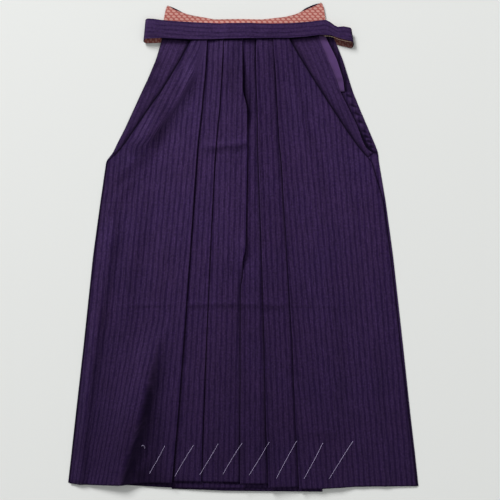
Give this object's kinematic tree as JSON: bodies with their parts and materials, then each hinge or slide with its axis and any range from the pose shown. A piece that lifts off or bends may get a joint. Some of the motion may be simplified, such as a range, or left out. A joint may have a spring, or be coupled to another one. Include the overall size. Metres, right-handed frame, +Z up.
{
  "type": "pleated hakama",
  "caption": "Pleated hakama laid flat, face up: overlapping front pleats, side openings, a front tie turned under at both ends and a back waist band.",
  "frame": {"origin": "on the resting surface, under the middle of the garment's outline", "axes": "+Z up, out of the surface it lies on; +Y towards the waist; +X to the right as it is looked down on"},
  "size_m": [0.716, 1.001, 0.0179],
  "materials": {
    "purple_cloth": "fine self-striped cloth with a low, soft sheen",
    "lilac_facing": "plain smooth cloth",
    "patterned_lining": "plain weave with a small woven lattice of ovals"
  },
  "bodies": {
    "root": {"front_side_left": "purple_cloth", "front_pleat_1": "purple_cloth", "front_pleat_2": "purple_cloth", "front_pleat_3": "purple_cloth", "front_pleat_4": "purple_cloth", "front_side_right": "purple_cloth", "front_middle_under": "purple_cloth", "side_pleat_left": "purple_cloth", "side_pleat_right": "purple_cloth", "side_facing_right": "lilac_facing", "back_left": "purple_cloth", "back_middle": "purple_cloth", "back_right": "purple_cloth", "back_band": "patterned_lining", "back_tie_left": "purple_cloth", "back_tie_right": "purple_cloth", "front_tie": "purple_cloth"}
  },
  "joints": []
}
